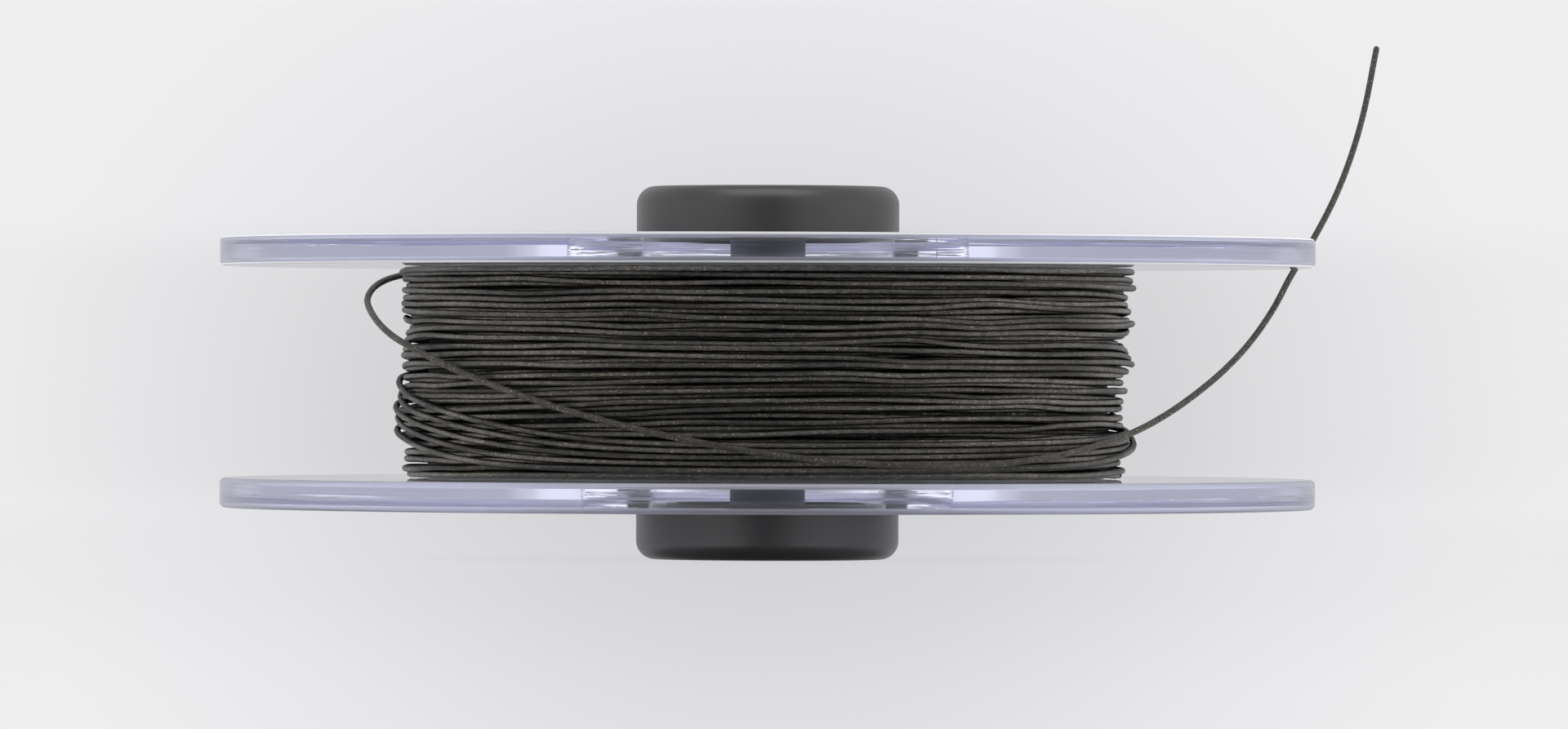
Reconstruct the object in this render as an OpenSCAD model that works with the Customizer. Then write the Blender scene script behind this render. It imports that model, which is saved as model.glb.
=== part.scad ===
// String reel: a clear two-flange spool of racket string that turns on a black hub.
// The axis is Z. The reel stands on its lower cap, and the origin is the middle of that foot.

/* [Flanges] */
// Outside diameter of each flange
flange_d = 118; // [100:1:130]
// Thickness of each flange
flange_t = 3.2; // [2.4:0.1:4.4]
// Radius of the rounding along both edges of the rim
rim_round = 0.6; // [0.2:0.1:1.1]
// Clear space between the two flanges
flange_gap = 22.8; // [16:0.2:28]
// Diameter of the hole in the middle of the lower flange
lower_bore = 25.2; // [22:0.2:27]
// Diameter of the hole in the middle of the upper flange
upper_bore = 27.2; // [22:0.2:27.4]

/* [Drum] */
// Outside diameter of the drum that the string is wound on
drum_d = 34; // [33:0.5:50]
// Wall of the drum
drum_wall = 2.4; // [1.2:0.1:2.6]
// Depth of the ring groove in each flange that the drum's end sits in
drum_seat = 0.5; // [0.3:0.1:1.4]
// Gap between the drum and each wall of its groove
seat_gap = 0.05; // [0.02:0.01:0.1]

/* [Hub] */
// Outside diameter of each cap
cap_d = 28.3; // [28:0.1:32]
// Height that each cap stands proud of its flange
cap_h = 5.4; // [4.6:0.1:9]
// Radius of the rounding around the outer edge of each cap
cap_round = 2; // [0.8:0.1:3]
// Thickness of the end wall of each cap
cap_floor = 1.6; // [1:0.1:2.2]
// Height of the ring on each cap that centres the flange's hole
spigot_h = 0.6; // [0.4:0.1:2]
// Wall of that ring
spigot_wall = 1.6; // [1:0.1:2.6]
// Radial running gap between the ring and the flange's hole
spigot_gap = 0.08; // [0.04:0.01:0.1]
// Gap between each cap and its flange, along the axis
axial_play = 0.1; // [0.05:0.05:0.4]
// Outside diameter of the sleeve that joins the two caps
sleeve_d = 8.1; // [7.6:0.1:9]
// Diameter of the spindle hole through the hub
arbor_d = 6; // [4:0.1:6.4]
// Wall of the socket in each cap that holds the sleeve
socket_wall = 1.8; // [1:0.1:2.6]
// Distance that the socket's mouth lies below the cap's inner face
socket_drop = 0.4; // [0.2:0.1:1]
// Radial interference between the sleeve and its sockets
press = 0.02; // [0:0.01:0.03]

/* [String] */
// Diameter of the string
string_d = 0.7; // [0.6:0.02:0.8]
// Diameter over the wound string
winding_d = 78.6; // [60:0.2:78.6]
// Gap between the flanges and the turns that lie next to them
side_gap = 0.1; // [0.05:0.05:0.3]
// Least gap between one turn of the outer layer and the next
turn_gap = 0.45; // [0.42:0.01:0.8]
// Direction from the axis in which the free end leaves the winding, in degrees from +X
exit_angle = 150; // [140:1:160]

/* [Hidden] */

$fn = 128;
// How far a cut runs past the face that it opens
cut = 1;

flange_r = flange_d / 2;
drum_r = drum_d / 2;
drum_hole_r = drum_r - drum_wall;
cap_r = cap_d / 2;
sleeve_r = sleeve_d / 2;
arbor_r = arbor_d / 2;
string_r = string_d / 2;

// Heights, from the foot up
lower_flange_z = cap_h + axial_play;
gap_low_z = lower_flange_z + flange_t;
gap_high_z = gap_low_z + flange_gap;
upper_flange_top = gap_high_z + flange_t;
overall_h = upper_flange_top + axial_play + cap_h;

// The outer layer of turns
turn_r = winding_d / 2 - string_r;
rings_per_turn = 24;
ring_step = 360 / rings_per_turn;
first_turn_z = gap_low_z + side_gap + string_r;
last_turn_z = gap_high_z - side_gap - string_r;
turn_rise = last_turn_z - first_turn_z;
most_turns = 24;
turns = min(most_turns, floor(turn_rise / (string_d + turn_gap)));
// A straight chord between two rings lies this far inside the circle of the turns
chord_dip = turn_r * (1 - cos(ring_step / 2));
inner_layers_r = turn_r - string_r - chord_dip;
// Radius of the bend where the first turn comes up out of the layers below it
end_bend = 0.5;
end_bend_steps = 3;

// The free end: a slack loop, a run across the front and a tail, as the string's centreline
loose_route = [
    [-37.4, 13, 31], [-39.6, 8.6, 30.6], [-41.4, 4.6, 30],
    [-42.6, 1.2, 29.1], [-43.1, -2, 27.9], [-42.6, -6, 26.6], [-41.4, -10.4, 25.1],
    [-39.8, -14.2, 23.8], [-38.2, -17, 22.9], [-36.4, -19.4, 22], [-34.4, -21.8, 21],
    [-32.2, -24, 20], [-29.4, -26.9, 18.9], [-25.8, -30.3, 17.6], [-21, -33.8, 16.1],
    [-15.7, -36.6, 14.7], [-10, -38.5, 13.4], [-4.2, -39.6, 12.3], [1.8, -39.75, 11.4],
    [7.8, -39, 10.8], [13.7, -37.3, 10.5], [19.2, -34.8, 10.4], [24.2, -31.6, 10.6],
    [28.6, -27.7, 11.1], [32.4, -23.3, 11.8],
    [35.9, -18.2, 12.8], [39.4, -12.8, 14], [42.7, -7.4, 15.7], [45.9, -2, 17.8],
    [49.2, 3.2, 20.4], [52.2, 8.4, 23.4], [54.9, 13.2, 27], [57.1, 17.6, 30.8],
    [59.8, 23.6, 34.9], [62.5, 31.2, 39.6], [64.7, 39, 44.5], [66.5, 46.8, 49.8],
    [68.2, 55.6, 56.6],
];
loose_sides = 8;
turn_sides = 6;

// ---- Helpers ----

function unit(v) = v / norm(v);

// Direction of a path at point i
function heading(path, i) =
    unit(path[min(i + 1, len(path) - 1)] - path[max(i - 1, 0)]);

// Corners of the tube's cross-section at point i; the path never runs straight up
function tube_ring(path, i, r, sides) =
    let (
        along = heading(path, i),
        across = unit(cross(along, [0, 0, 1])),
        up = cross(across, along)
    )
    [for (k = [0:sides - 1]) path[i] + r * (cos(360 * k / sides) * across + sin(360 * k / sides) * up)];

// A round string along a path, as one closed mesh of triangles
module string_tube(path, r, sides) {
    last = len(path) - 1;
    corners = [for (i = [0:last]) each tube_ring(path, i, r, sides)];
    side_faces = [
        for (i = [0:last - 1]) for (k = [0:sides - 1])
            let (a = i * sides + k, b = i * sides + (k + 1) % sides)
            each [[a, b, b + sides], [a, b + sides, a + sides]]
    ];
    start_face = [for (k = [1:sides - 2]) [0, k + 1, k]];
    end_face = [for (k = [1:sides - 2]) [for (c = [0, k, k + 1]) last * sides + c]];
    polyhedron(points = corners, faces = concat(start_face, side_faces, end_face), convexity = 10);
}

// One point between b and c on a smooth curve through a, b, c and d
function between(a, b, c, d) = (9 * (b + c) - a - d) / 16;

// The same route with a point added halfway along each step
function smooth(p) = [
    for (i = [0:len(p) - 2])
        each [p[i], between(p[max(i - 1, 0)], p[i], p[i + 1], p[min(i + 2, len(p) - 1)])],
    p[len(p) - 1]
];

// ---- The hub ----

// Half of a cap's section, with the ring that centres a flange's hole of radius bore_r
module cap_profile(bore_r) {
    face_z = cap_h;
    spigot_top = face_z + axial_play + spigot_h;
    spigot_r = bore_r - spigot_gap;
    socket_r = sleeve_r + socket_wall;
    difference() {
        union() {
            square([cap_r - cap_round, face_z]);
            translate([0, cap_round]) square([cap_r, face_z - cap_round]);
            translate([cap_r - cap_round, cap_round]) circle(cap_round);
            square([spigot_r, spigot_top]);
        }
        // Hollow between the socket and the centring ring
        translate([socket_r, cap_floor])
            square([spigot_r - spigot_wall - socket_r, spigot_top]);
        // The socket ends below the cap's inner face
        translate([0, face_z - socket_drop]) square([socket_r + cut, spigot_top]);
    }
}

// A cap that stands on its rounded end
module cap(bore_r) {
    difference() {
        rotate_extrude() cap_profile(bore_r);
        translate([0, 0, -cut]) cylinder(r = arbor_r, h = cap_h + 2 * cut);
        translate([0, 0, cap_floor]) cylinder(r = sleeve_r - press, h = cap_h);
    }
}

module lower_cap() {
    color("#2b2c2d") cap(lower_bore / 2);
}

module upper_cap() {
    color("#2b2c2d") translate([0, 0, overall_h]) mirror([0, 0, 1]) cap(upper_bore / 2);
}

module hub_sleeve() {
    color("#232425") translate([0, 0, cap_floor]) difference() {
        cylinder(r = sleeve_r, h = overall_h - 2 * cap_floor);
        translate([0, 0, -cut]) cylinder(r = arbor_r, h = overall_h);
    }
}

// ---- The spool ----

// A flange whose inner side, with the drum's groove, faces up
module flange(bore_r) {
    difference() {
        rotate_extrude() {
            translate([bore_r, 0]) square([flange_r - bore_r - rim_round, flange_t]);
            translate([bore_r, rim_round])
                square([flange_r - bore_r, flange_t - 2 * rim_round]);
            for (z = [rim_round, flange_t - rim_round])
                translate([flange_r - rim_round, z]) circle(rim_round);
        }
        translate([0, 0, flange_t - drum_seat]) difference() {
            cylinder(r = drum_r + seat_gap, h = drum_seat + cut);
            translate([0, 0, -cut])
                cylinder(r = drum_hole_r - seat_gap, h = drum_seat + 3 * cut);
        }
    }
}

module lower_flange() {
    color("#b4b6cc", 0.5) translate([0, 0, lower_flange_z]) flange(lower_bore / 2);
}

module upper_flange() {
    color("#b4b6cc", 0.5) translate([0, 0, upper_flange_top]) mirror([0, 0, 1])
        flange(upper_bore / 2);
}

module drum() {
    drum_h = flange_gap + 2 * drum_seat;
    color("#2f3031") translate([0, 0, gap_low_z - drum_seat]) difference() {
        cylinder(r = drum_r, h = drum_h);
        translate([0, 0, -cut]) cylinder(r = drum_hole_r, h = drum_h + 2 * cut);
    }
}

// ---- The string ----

module string_inner_layers() {
    color("#2a2927") translate([0, 0, gap_low_z]) difference() {
        cylinder(r = inner_layers_r, h = flange_gap);
        translate([0, 0, -cut]) cylinder(r = drum_r, h = flange_gap + 2 * cut);
    }
}

function out_dir(a) = [cos(a), sin(a), 0];
function turn_dir(a) = [-sin(a), cos(a), 0];

ring_count = turns * rings_per_turn;
start_angle = exit_angle - turns * 360;
first_ring = turn_r * out_dir(start_angle) + [0, 0, first_turn_z];
last_ring = turn_r * out_dir(exit_angle) + [0, 0, last_turn_z];
exit_point = last_ring + string_d * turn_dir(exit_angle);

// From the layers below straight outwards, then round a bend into the first turn
rising_end = [
    first_ring - (end_bend + string_d) * out_dir(start_angle) - end_bend * turn_dir(start_angle),
    for (s = [0:end_bend_steps - 1])
        let (bend = 90 - 90 * s / end_bend_steps)
        first_ring + end_bend * ((cos(bend) - 1) * out_dir(start_angle) - sin(bend) * turn_dir(start_angle)),
];
turns_path = concat(
    rising_end,
    [for (i = [0:ring_count])
        turn_r * out_dir(start_angle + i * ring_step)
        + [0, 0, first_turn_z + turn_rise * i / ring_count]],
    [exit_point]
);

// Least distance from each point to those half a turn to one and a half turns on
function least_gap(path) =
    let (half = rings_per_turn / 2, last = len(path) - 1)
    min([for (i = [0:last - half]) for (j = [i + half:min(last, i + 3 * half)])
        norm(path[i] - path[j])]) - string_d;

echo(turns = turns, least_gap_between_turns_mm = least_gap(turns_path));

module string_outer_turns() {
    color("#353431") string_tube(turns_path, string_r, turn_sides);
}

loose_path = concat(
    [exit_point, exit_point + string_d * turn_dir(exit_angle)],
    smooth(loose_route)
);

echo(loose_string_length_mm = length_of(loose_path), loose_string_rings = len(loose_path));

function length_of(path) = norm_sum([for (i = [1:len(path) - 1]) norm(path[i] - path[i - 1])]);
function norm_sum(v, i = 0) = i < len(v) ? v[i] + norm_sum(v, i + 1) : 0;

module loose_string() {
    color("#3b3936") string_tube(loose_path, string_r, loose_sides);
}

lower_cap();
upper_cap();
hub_sleeve();
lower_flange();
upper_flange();
drum();
string_inner_layers();
string_outer_turns();
loose_string();
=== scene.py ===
"""String reel: a clear two-flange spool of racket string that turns on a black hub.

Sizes are in millimetres where a class holds them, and every mesh is made in metres
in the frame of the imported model: +Z up along the axis, -Y towards the front.
"""

import logging
import math
import sys
from dataclasses import dataclass, field
from enum import Enum

import bmesh
import bpy
import numpy as np
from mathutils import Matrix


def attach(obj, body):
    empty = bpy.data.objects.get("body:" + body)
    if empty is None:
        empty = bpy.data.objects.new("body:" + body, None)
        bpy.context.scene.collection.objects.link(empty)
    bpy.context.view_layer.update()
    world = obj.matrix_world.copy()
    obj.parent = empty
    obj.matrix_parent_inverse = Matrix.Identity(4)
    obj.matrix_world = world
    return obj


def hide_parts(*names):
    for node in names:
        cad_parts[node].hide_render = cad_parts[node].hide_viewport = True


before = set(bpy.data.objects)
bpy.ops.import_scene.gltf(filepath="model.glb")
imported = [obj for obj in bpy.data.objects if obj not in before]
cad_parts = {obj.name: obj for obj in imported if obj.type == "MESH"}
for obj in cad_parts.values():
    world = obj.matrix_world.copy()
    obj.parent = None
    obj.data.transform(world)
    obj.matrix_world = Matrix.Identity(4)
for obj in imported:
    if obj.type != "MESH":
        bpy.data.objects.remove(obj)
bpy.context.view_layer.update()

LOG = logging.getLogger("string_reel")
MM = 0.001

Profile = list[tuple[float, float]]
Colour = tuple[float, float, float]
Point = tuple[float, float, float]
# A room around the reel: angle from straight behind it, brightness and share of blue
Stops = list[tuple[float, float, float]]


class Body(Enum):
    """The two bodies of the reel that turn against each other."""

    HUB = "hub"
    SPOOL = "spool"


class Slot(Enum):
    """The record's finishes."""

    CAP = "cap"
    FLANGE = "flange"
    STRING = "string"


class Facing(Enum):
    """Which way a cap or flange is turned along the axis."""

    UP = 1
    DOWN = -1


# ---- Colour and node helpers ----


def linear(level: float) -> float:
    """Turns a screen level into a linear one.

    Args:
        level: The screen level, from 0 to 255.

    Returns:
        The linear level, from 0 to 1.
    """
    share = level / 255
    if share <= 0.04045:
        return share / 12.92
    return ((share + 0.055) / 1.055) ** 2.4


def screen(red: float, green: float, blue: float) -> Colour:
    """The linear colour of a screen colour given from 0 to 255."""
    return linear(red), linear(green), linear(blue)


class Shader:
    """Short calls that add nodes to one node tree and join them."""

    def __init__(self, tree: bpy.types.NodeTree) -> None:
        """Empties the tree.

        Args:
            tree: The node tree of a material or a world.
        """
        self.tree = tree
        tree.nodes.clear()

    def add(self, kind: str, **settings: object) -> bpy.types.Node:
        """Adds a node.

        Args:
            kind: The node's type, without the word ShaderNode.
            settings: Its properties by name.

        Returns:
            The new node.
        """
        node = self.tree.nodes.new("ShaderNode" + kind)
        for name, value in settings.items():
            setattr(node, name, value)
        return node

    def fill(self, node: bpy.types.Node, **values: object) -> bpy.types.Node:
        """Sets or joins a node's inputs.

        Args:
            node: The node.
            values: A number, colour or output socket by input name, where an
                underscore stands for a space.

        Returns:
            The same node.
        """
        self.join([node.inputs[name.replace("_", " ")] for name in values], values.values())
        return node

    def join(self, sockets: object, values: object) -> None:
        """Sets or joins sockets in order.

        Args:
            sockets: The sockets.
            values: A number, colour or output socket for each.
        """
        for socket, value in zip(sockets, values):
            if isinstance(value, bpy.types.NodeSocket):
                self.tree.links.new(value, socket)
            elif isinstance(value, tuple) and len(value) == 3 and socket.type == "RGBA":
                socket.default_value = (*value, 1.0)
            else:
                socket.default_value = value

    def calc(self, kind: str, *values: object, clamp: bool = False) -> bpy.types.NodeSocket:
        """A Math node.

        Args:
            kind: The operation, such as ADD.
            values: Numbers or sockets.
            clamp: Whether the result is kept from 0 to 1.

        Returns:
            The node's output.
        """
        node = self.add("Math", operation=kind, use_clamp=clamp)
        self.join(node.inputs, values)
        return node.outputs[0]

    def ramp(
        self, factor: bpy.types.NodeSocket, stops: list[tuple[float, Colour]]
    ) -> bpy.types.NodeSocket:
        """A colour ramp.

        Args:
            factor: Where along the ramp.
            stops: Places from 0 to 1 with their linear colours.

        Returns:
            The colour.
        """
        node = self.add("ValToRGB")
        elements = node.color_ramp.elements
        ends = (stops[0], stops[-1])
        for element, (place, colour) in zip(elements, ends):
            element.position = place
            element.color = (*colour, 1.0)
        for place, colour in stops[1:-1]:
            elements.new(place).color = (*colour, 1.0)
        self.tree.links.new(factor, node.inputs["Fac"])
        return node.outputs["Color"]

    def mix(self, factor: object, first: object, second: object) -> bpy.types.NodeSocket:
        """Mixes two shaders.

        Args:
            factor: The second one's share.
            first: Output of the first shader.
            second: Output of the second shader.

        Returns:
            The mixed shader.
        """
        node = self.add("MixShader")
        self.join(node.inputs, (factor, first, second))
        return node.outputs[0]

    def blend(self, factor: object, first: object, second: object) -> bpy.types.NodeSocket:
        """Mixes two colours.

        Args:
            factor: The second one's share.
            first: Colour or socket.
            second: Colour or socket.

        Returns:
            The mixed colour.
        """
        node = self.add("Mix", data_type="RGBA")
        sockets = [node.inputs[number] for number in (0, 6, 7)]
        self.join(sockets, (factor, first, second))
        return node.outputs[2]

    def remap(
        self,
        value: bpy.types.NodeSocket,
        source: tuple[float, float] = (0.0, 1.0),
        result: tuple[float, float] = (0.0, 1.0),
        smooth: bool = False,
    ) -> bpy.types.NodeSocket:
        """Maps one range of values to another and holds it at the ends.

        Args:
            value: The value.
            source: The range that it comes from.
            result: What the two ends of that range become.
            smooth: Whether the change starts and ends softly.

        Returns:
            The new value.
        """
        kind = "SMOOTHSTEP" if smooth else "LINEAR"
        node = self.fill(
            self.add("MapRange", interpolation_type=kind),
            Value=value,
            From_Min=source[0],
            From_Max=source[1],
            To_Min=result[0],
            To_Max=result[1],
        )
        return node.outputs["Result"]

    def noise(
        self, place: bpy.types.NodeSocket, scale: float, detail: float
    ) -> bpy.types.NodeSocket:
        """A noise texture.

        Args:
            place: The point that it is read at.
            scale: How fine it is.
            detail: How many finer layers it has.

        Returns:
            Its value, from 0 to 1.
        """
        node = self.fill(self.add("TexNoise"), Vector=place, Scale=scale, Detail=detail)
        return node.outputs["Fac"]

    def bump(
        self, height: bpy.types.NodeSocket, strength: float, depth: float
    ) -> bpy.types.NodeSocket:
        """A bumped normal.

        Args:
            height: The height, from 0 to 1.
            strength: How much of the bump shows.
            depth: The bump's height in metres.

        Returns:
            The normal.
        """
        node = self.fill(self.add("Bump"), Strength=strength, Distance=depth, Height=height)
        return node.outputs["Normal"]

    def stretched(self, place: bpy.types.NodeSocket, factors: Point) -> bpy.types.NodeSocket:
        """Multiplies each of a point's three parts by its own factor.

        Args:
            place: The point.
            factors: The three factors.

        Returns:
            The new point.
        """
        node = self.add("VectorMath", operation="MULTIPLY")
        self.join(node.inputs, (place, factors))
        return node.outputs[0]

    def scaled(
        self, colour: bpy.types.NodeSocket, factor: bpy.types.NodeSocket
    ) -> bpy.types.NodeSocket:
        """Makes a colour brighter or darker.

        Args:
            colour: The colour.
            factor: How bright it becomes, where 1 leaves it as it is.

        Returns:
            The new colour.
        """
        node = self.add("VectorMath", operation="SCALE")
        self.join((node.inputs[0], node.inputs["Scale"]), (colour, factor))
        return node.outputs[0]

    def object_place(self) -> bpy.types.NodeSocket:
        """The point on the piece, in metres."""
        return self.add("TexCoord").outputs["Object"]


def new_material(name: str) -> tuple[bpy.types.Material, Shader]:
    """Makes an empty material.

    Args:
        name: Its name.

    Returns:
        The material and the helper of its node tree.
    """
    material = bpy.data.materials.new(name)
    material.use_nodes = True
    return material, Shader(material.node_tree)


# ---- Finishes ----


@dataclass(frozen=True)
class ClearPlastic:
    """Polished clear plastic with a faint lavender tint through its depth.

    A clarity under 1 frosts it: the rest of its light comes from the haze's colour.
    """

    name: str
    ior: float = 1.59
    roughness: float = 0.0
    clarity: float = 1.0
    haze: Colour = (1.0, 1.0, 1.0)
    tint: Colour = (0.522, 0.537, 0.736)
    density: float = 10.0
    shadow: Colour = (0.93, 0.93, 0.96)
    streaks: float = 0.13
    streak_depth: float = 0.00002
    streak_scale: Point = (26.0, 26.0, 2400.0)

    def marks(self, shader: Shader) -> bpy.types.NodeSocket:
        """Faint moulding marks that run around the rim and the hole.

        Args:
            shader: The node tree's helper.

        Returns:
            The bumped normal.
        """
        place = shader.stretched(shader.object_place(), self.streak_scale)
        return shader.bump(shader.noise(place, 1.0, 2.0), self.streaks, self.streak_depth)

    def build(self) -> bpy.types.Material:
        """Makes the material.

        Returns:
            The material.
        """
        material, shader = new_material(self.name)
        body = shader.fill(
            shader.add("BsdfPrincipled"),
            Base_Color=self.haze,
            Transmission_Weight=self.clarity,
            IOR=self.ior,
            Roughness=self.roughness,
            Normal=self.marks(shader),
        )
        through = shader.fill(shader.add("BsdfTransparent"), Color=self.shadow)
        shadow_ray = shader.add("LightPath").outputs["Is Shadow Ray"]
        surface = shader.mix(shadow_ray, body.outputs[0], through.outputs[0])
        depth = shader.fill(
            shader.add("VolumeAbsorption"), Color=self.tint, Density=self.density
        )
        shader.fill(shader.add("OutputMaterial"), Surface=surface, Volume=depth.outputs[0])
        return material


@dataclass(frozen=True)
class MouldedPlastic:
    """Black moulded plastic with a fine grain."""

    name: str
    colour: Colour
    roughness: float = 0.42
    roughness_swing: float = 0.07
    grain: float = 0.12
    grain_scale: float = 2600.0
    grain_depth: float = 0.00003
    patch_scale: float = 160.0
    darkest: float = 0.82
    lightest: float = 1.2

    def build(self) -> bpy.types.Material:
        """Makes the material.

        Returns:
            The material.
        """
        material, shader = new_material(self.name)
        place = shader.object_place()
        fine = shader.noise(place, self.grain_scale, 2.0)
        broad = shader.noise(place, self.patch_scale, 3.0)
        darker = tuple(self.darkest * c for c in self.colour)
        lighter = tuple(self.lightest * c for c in self.colour)
        smoothest = self.roughness - self.roughness_swing
        roughest = self.roughness + self.roughness_swing
        body = shader.fill(
            shader.add("BsdfPrincipled"),
            Base_Color=shader.blend(broad, darker, lighter),
            Roughness=shader.remap(broad, result=(smoothest, roughest)),
            Normal=shader.bump(fine, self.grain, self.grain_depth),
        )
        shader.fill(shader.add("OutputMaterial"), Surface=body.outputs[0])
        return material


@dataclass(frozen=True)
class BraidedString:
    """Dark braided nylon. U runs once around the string and V along it in metres.

    The flank shade is painted shade: how much the string darkens away from its outermost
    line, where neighbouring turns would shade it. The unevenness is how much one turn
    differs in brightness from the next.
    """

    name: str
    colour: Colour
    thread: float = 0.0022
    carriers: float = 8.0
    painted_flank_shade: float = 0.0
    painted_shade_reach: tuple[float, float] = (0.56, 0.99)
    unevenness: float = 0.0
    turn_scale: Point = (55.0, 55.0, 1250.0)
    fleck: Colour = screen(122, 117, 102)
    fleck_scale: float = 4200.0
    patch_scale: float = 900.0
    weave_share: float = 0.4
    weave_depth: float = 0.00004
    darkest: float = 0.4
    lightest: float = 1.6
    roughness: float = 0.5
    shine: float = 0.22

    def across_and_along(
        self, shader: Shader
    ) -> tuple[bpy.types.NodeSocket, bpy.types.NodeSocket]:
        """The place on the string.

        Args:
            shader: The node tree's helper.

        Returns:
            The share of a turn around the string and the metres along it.
        """
        split = shader.add("SeparateXYZ")
        shader.fill(split, Vector=shader.add("UVMap", uv_map="UVMap").outputs["UV"])
        return split.outputs["X"], split.outputs["Y"]

    def weave(self, shader: Shader, lean: float) -> bpy.types.NodeSocket:
        """One set of the threads that wind around the string.

        Args:
            shader: The node tree's helper.
            lean: 1 for threads that wind to the left, -1 to the right.

        Returns:
            Their height, from 0 to 1.
        """
        across, along = self.across_and_along(shader)
        around = shader.calc("MULTIPLY", across, self.carriers * 2 * math.pi)
        onward = shader.calc("MULTIPLY", along, lean * 2 * math.pi / self.thread)
        wave = shader.calc("SINE", shader.calc("ADD", around, onward))
        return shader.calc("MULTIPLY_ADD", wave, 0.5, 0.5)

    def paint_flank_shade(
        self, shader: Shader, colour: bpy.types.NodeSocket
    ) -> bpy.types.NodeSocket:
        """Paints shade on the string where it faces its neighbours, darker away from its
        outermost line.

        Args:
            shader: The node tree's helper.
            colour: The string's colour.

        Returns:
            The colour, with painted shade away from the outermost line.
        """
        across, _ = self.across_and_along(shader)
        outwards = shader.calc("COSINE", shader.calc("MULTIPLY", across, 2 * math.pi))
        facing = shader.remap(
            outwards, self.painted_shade_reach, (1.0 - self.painted_flank_shade, 1.0), smooth=True
        )
        return shader.scaled(colour, facing)

    def build(self) -> bpy.types.Material:
        """Makes the material.

        Returns:
            The material.
        """
        material, shader = new_material(self.name)
        left = self.weave(shader, 1.0)
        right = self.weave(shader, -1.0)
        height = shader.calc("MAXIMUM", left, right)
        place = shader.object_place()
        patches = shader.remap(shader.noise(place, self.patch_scale, 4.0), (0.3, 0.7))
        patches = shader.calc("MULTIPLY", patches, 1.0 - self.weave_share)
        shade = shader.calc("MULTIPLY_ADD", height, self.weave_share, patches)
        darker = tuple(self.darkest * c for c in self.colour)
        lighter = tuple(self.lightest * c for c in self.colour)
        threads = shader.blend(shade, darker, lighter)
        flecks = shader.remap(shader.noise(place, self.fleck_scale, 1.0), (0.6, 0.74))
        colour = shader.blend(flecks, threads, self.fleck)
        turns = shader.noise(shader.stretched(place, self.turn_scale), 1.0, 1.0)
        swing = (1.0 - self.unevenness, 1.0 + self.unevenness)
        colour = shader.scaled(colour, shader.remap(turns, (0.32, 0.68), swing))
        # Painted shade on the flanks, where neighbouring turns would shade the string
        if self.painted_flank_shade > 0:
            colour = self.paint_flank_shade(shader, colour)
        body = shader.fill(
            shader.add("BsdfPrincipled"),
            Base_Color=colour,
            Roughness=self.roughness,
            Specular_IOR_Level=self.shine,
            Normal=shader.bump(height, 0.5, self.weave_depth),
        )
        shader.fill(shader.add("OutputMaterial"), Surface=body.outputs[0])
        return material


# ---- Mesh helpers ----


def new_object(
    name: str, mesh: bpy.types.Mesh, finish: bpy.types.Material
) -> bpy.types.Object:
    """Puts a mesh in the scene.

    Args:
        name: The piece's name.
        mesh: Its mesh.
        finish: Its material.

    Returns:
        The new object.
    """
    mesh.materials.append(finish)
    piece = bpy.data.objects.new(name, mesh)
    bpy.context.scene.collection.objects.link(piece)
    return piece


def arc(
    centre: tuple[float, float], radius: float, start: float, end: float, steps: int
) -> Profile:
    """Points along an arc in a section.

    Args:
        centre: The arc's centre as radius and height.
        radius: The arc's radius.
        start: First angle in degrees, from straight outwards towards up.
        end: Last angle in degrees.
        steps: How many straight steps.

    Returns:
        The points, both ends included.
    """
    angles = [math.radians(start + (end - start) * k / steps) for k in range(steps + 1)]
    across, up = centre
    return [(across + radius * math.cos(a), up + radius * math.sin(a)) for a in angles]


def turned(
    name: str,
    profile: Profile,
    finish: bpy.types.Material,
    segments: int,
    sharp: float = 32.0,
) -> bpy.types.Object:
    """A solid turned about the axis from a closed section.

    Args:
        name: The piece's name.
        profile: The section's corners in order, as radius and height in millimetres.
        finish: The material.
        segments: Steps around the axis.
        sharp: Edges that bend by more degrees than this stay crisp.

    Returns:
        The new object.
    """
    work = bmesh.new()
    angles = [2 * math.pi * k / segments for k in range(segments)]
    rings = []
    for r, z in profile:
        corners = [(r * MM * math.cos(a), r * MM * math.sin(a), z * MM) for a in angles]
        rings.append([work.verts.new(corner) for corner in corners])
    for ring, beyond in zip(rings, rings[1:] + rings[:1]):
        for k in range(segments):
            m = (k + 1) % segments
            work.faces.new((ring[k], ring[m], beyond[m], beyond[k]))
    bmesh.ops.recalc_face_normals(work, faces=work.faces)
    mesh = bpy.data.meshes.new(name)
    work.to_mesh(mesh)
    work.free()
    mesh.shade_smooth()
    mesh.set_sharp_from_angle(angle=math.radians(sharp))
    return new_object(name, mesh, finish)


def flipped(profile: Profile, height: float) -> Profile:
    """A section turned upside down.

    Args:
        profile: The section.
        height: Height that the section's zero comes to lie at.

    Returns:
        The section with its heights measured down from that height.
    """
    return [(r, height - z) for r, z in profile]


def smooth_line(points: np.ndarray, step: float) -> np.ndarray:
    """A smooth curve through points, sampled at even steps.

    Args:
        points: The points, one row each.
        step: About how far apart the samples lie.

    Returns:
        The samples, one row each.
    """
    ends = np.vstack([2 * points[0] - points[1], points, 2 * points[-1] - points[-2]])
    a, b, c, d = ends[:-3], ends[1:-2], ends[2:-1], ends[3:]
    dense = []
    for t in np.linspace(0, 1, 24, endpoint=False):
        bend = (2 * a - 5 * b + 4 * c - d) * t**2
        twist = (3 * b - a - 3 * c + d) * t**3
        dense.append(0.5 * (2 * b + (c - a) * t + bend + twist))
    line = np.stack(dense, axis=1).reshape(-1, 3)
    line = np.vstack([line, points[-1]])
    run = distances(line)
    places = np.linspace(0, run[-1], int(round(run[-1] / step)) + 1)
    return np.stack([np.interp(places, run, line[:, k]) for k in range(3)], axis=1)


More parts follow.
